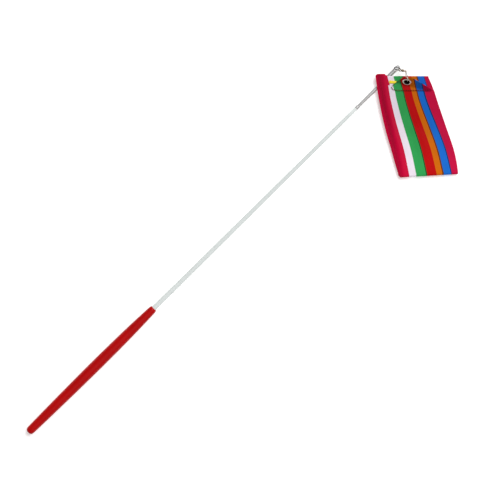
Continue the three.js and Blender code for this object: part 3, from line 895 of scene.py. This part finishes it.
def tab_edge(turn):
    """How far the tab reaches from the eyelet's centre in a direction."""
    direction = Vector((math.cos(turn), math.sin(turn)))
    centre = Vector(EYELET_AT)
    for a, b in zip(TAB_CORNERS, TAB_CORNERS[1:] + TAB_CORNERS[:1]):
        a, b = Vector(a) - centre, Vector(b) - centre
        side = b - a
        cross = direction.x * side.y - direction.y * side.x
        if abs(cross) < 1e-9:
            continue
        reach = (a.x * side.y - a.y * side.x) / cross
        share = (a.x * direction.y - a.y * direction.x) / cross
        if reach > 0 and -1e-9 <= share <= 1 + 1e-9:
            return reach
    return 0.0


def tab_shape():
    """The tab as a sheet with a hole, its rings closing in from the edge to the eyelet."""
    points = []
    coordinates = []
    for ring in range(TAB_RINGS + 1):
        share = (ring / TAB_RINGS) ** 1.15
        for spoke in range(TAB_SPOKES):
            turn = 2 * math.pi * spoke / TAB_SPOKES
            rim = EYELET_IN_PACK @ Vector((TAB_HOLE * math.cos(turn), TAB_HOLE * math.sin(turn), 0))
            edge = tab_edge(turn)
            x = rim.x + (EYELET_AT[0] + edge * math.cos(turn) - rim.x) * share
            y = rim.y + (EYELET_AT[1] + edge * math.sin(turn) - rim.y) * share
            z = TAB_HEIGHT - 0.15 + tab_rise(x, y)
            z += 0.12 * noise.noise(Vector((x * 0.25, y * 0.3, 1.3)))
            points.append(Vector((x, y, z)))
            left = TAB_STRIPES_FROM - TAB_STRIPES_LEAN * (y - TAB_SEAM_AT)
            coordinates.append(((x - left) / TAB_STRIPE_SPAN, y / RIBBON_WIDTH))
    faces = []
    for ring in range(TAB_RINGS):
        for spoke in range(TAB_SPOKES):
            a = ring * TAB_SPOKES + spoke
            b = ring * TAB_SPOKES + (spoke + 1) % TAB_SPOKES
            faces.append((a, a + TAB_SPOKES, b + TAB_SPOKES, b))
    return (points, faces), coordinates


def stitches(path, length, gap, radius):
    """A row of short thread stitches along a line of points, each sunk at its ends."""
    shapes = []
    run = 0.0
    walk = []
    for a, b in zip(path, path[1:]):
        walk.append((run, a, b))
        run += (b - a).length
    spot = 0.0

    def at(distance):
        start, a, b = [w for w in walk if w[0] <= distance + 1e-9][-1]
        return a.lerp(b, (distance - start) / (b - a).length)

    while spot + length < run:
        line = []
        for i in range(9):
            share = i / 8
            lift = radius * (1.6 * math.sin(math.pi * share) - 0.5)
            line.append(at(spot + share * length) + UP * lift)
        shapes.append(tube(line, radius, 10, swell=lambda i: 0.55 if i in (0, 8) else 1.0))
        spot += length + gap
    return joined(*shapes)


tab_sheet, tab_coordinates = tab_shape()
tab = piece("tab_cloth", PACK, tab_sheet, satin_stripes, "ribbon", "ribbon_tab",
            coordinates=tab_coordinates)
thickness = tab.modifiers.new("thickness", "SOLIDIFY")
thickness.thickness = TAB_CLOTH_THICKNESS * MM
thickness.offset = 1
tab_soft = tab.modifiers.new("rounded_edge", "BEVEL")
tab_soft.width = 0.12 * MM
tab_soft.segments = 2


def seam_line(points, steps=40):
    """A smooth line on the tab's face through (x, y) points in rising x."""
    first, last = points[0][0], points[-1][0]
    line = []
    for i in range(steps + 1):
        x = first + (last - first) * i / steps
        y = along_points(points, x)
        line.append(Vector((x, y, TAB_HEIGHT + 0.42 + tab_rise(x, y))))
    return line


BASE_SEAM = [(15.6, -14.0), (22, -14.5), (32, -14.5), (43, -14.3), (50, -14.2)]
SLANT_SEAM = [(14.4, -10.6), (17, -8.2), (20, -6.3), (23.6, -3.9)]
CORNER_SEAM = [(13.9, -11.4), (14.2, -12.4), (14.9, -13.3), (15.6, -13.9)]
piece("base_stitches", PACK, stitches(seam_line(BASE_SEAM), 1.9, 0.4, 0.25), brown_thread,
      "ribbon", "base_seam")
piece("edge_stitches", PACK,
      joined(stitches(seam_line(SLANT_SEAM), 1.5, 0.5, 0.22),
             stitches(seam_line(CORNER_SEAM), 1.2, 0.3, 0.26)),
      brown_thread, "ribbon", "edge_seam")


def eyelet_front():
    """The eyelet's domed rim and the tube that goes down through the tab."""
    profile = rounded([
        (-1.3, EYELET_HOLE_RADIUS), (-1.3, 3.0), (0.0, 3.0), (0.0, EYELET_RADIUS),
        (0.3, EYELET_RADIUS), (0.6, 3.45), (0.35, EYELET_HOLE_RADIUS), (-1.3, EYELET_HOLE_RADIUS),
    ], 0.35)
    return turned(profile, 64)


upright = Matrix.Rotation(-math.pi / 2, 4, "Y")
FLANGE = EYELET @ Matrix.Translation((0, 0, TAB_THICKNESS + 0.3)) @ upright
WASHER = EYELET @ Matrix.Translation((0, 0, -0.3)) @ upright
rim = piece("eyelet_rim", FLANGE, eyelet_front(), eyelet_metal, "ribbon", "eyelet")
# The faces round the eyelet's hole take the near-black metal, a painted shade for the dark hole
# beneath.
rim.data.materials.append(bore_painted_shade)
rim_centre = FLANGE @ Vector((0, 0, 0))
rim_axis = (FLANGE @ Vector((1, 0, 0)) - rim_centre).normalized()
for face in rim.data.polygons:
    from_centre = face.center - rim_centre
    from_axis = (from_centre - rim_axis * from_centre.dot(rim_axis)).length / MM
    face.material_index = int(from_axis < EYELET_HOLE_RADIUS + 0.2)
washer_profile = rounded([
    (-0.45, 3.3), (-0.45, EYELET_RADIUS), (0.0, EYELET_RADIUS), (0.0, 3.3), (-0.45, 3.3),
], 0.15)
piece("eyelet_back", WASHER, turned(washer_profile, 56), eyelet_metal, "ribbon", "eyelet_washer")


BAND_FROM = 10.6
BAND_REACH = 7.9
BAND_LEVEL = -6.4
BAND_DROP = 0.5
BAND_HALF_WIDTH = 1.55
BAND_NARROWING = 0.35


def band_shape():
    """A flat elastic strand that rises out of the turns and slips under the tab."""
    rings = []
    steps = 16
    for i in range(steps + 1):
        share = i / steps
        x = BAND_FROM + BAND_REACH * share
        middle = BAND_LEVEL - BAND_DROP * share
        half = BAND_HALF_WIDTH - BAND_NARROWING * share
        height = PACK_THICKNESS - 0.5 + 0.75 * smoothstep(0, 0.3, share)
        section = [(-half, 0.0), (-half, 0.22), (-half * 0.4, 0.34), (half * 0.4, 0.3),
                   (half, 0.22), (half, 0.0)]
        rings.append([Vector((x, middle + y, height + z)) for y, z in reversed(section)])
    return skin(rings)


piece("band_strand", PACK, band_shape(), yellow_rubber, "ribbon", "elastic_band")

# ------------------------------------------------------------ stage and light

floor = new_mesh("floor", [(-6, -6, 0), (6, -6, 0), (6, 6, 0), (-6, 6, 0)], [(0, 1, 2, 3)])
floor.data.materials.append(floor_finish())


def soft_sun(name, azimuth, height, strength, softness):
    """A broad lamp far off, at a compass turn from +X and a height above the floor, in degrees."""
    lamp = bpy.data.objects.new(name, bpy.data.lights.new(name, "SUN"))
    lamp.data.energy = strength
    lamp.data.angle = math.radians(softness)
    turn, rise = math.radians(azimuth), math.radians(height)
    away = Vector((math.cos(rise) * math.cos(turn), math.cos(rise) * math.sin(turn), math.sin(rise)))
    lamp.rotation_euler = away.to_track_quat("Z", "Y").to_euler()
    lamp.location = VIEW_CENTRE + away * 2
    bpy.context.scene.collection.objects.link(lamp)


soft_sun("key", 8, 54, 2.3, 36)
soft_sun("fill", -60, 62, 0.5, 60)

world = bpy.data.worlds.new("studio")
world.use_nodes = True
world.node_tree.nodes["Background"].inputs["Color"].default_value = (1, 1, 1, 1)
world.node_tree.nodes["Background"].inputs["Strength"].default_value = 0.28
bpy.context.scene.world = world
bpy.context.scene.view_settings.view_transform = "Standard"
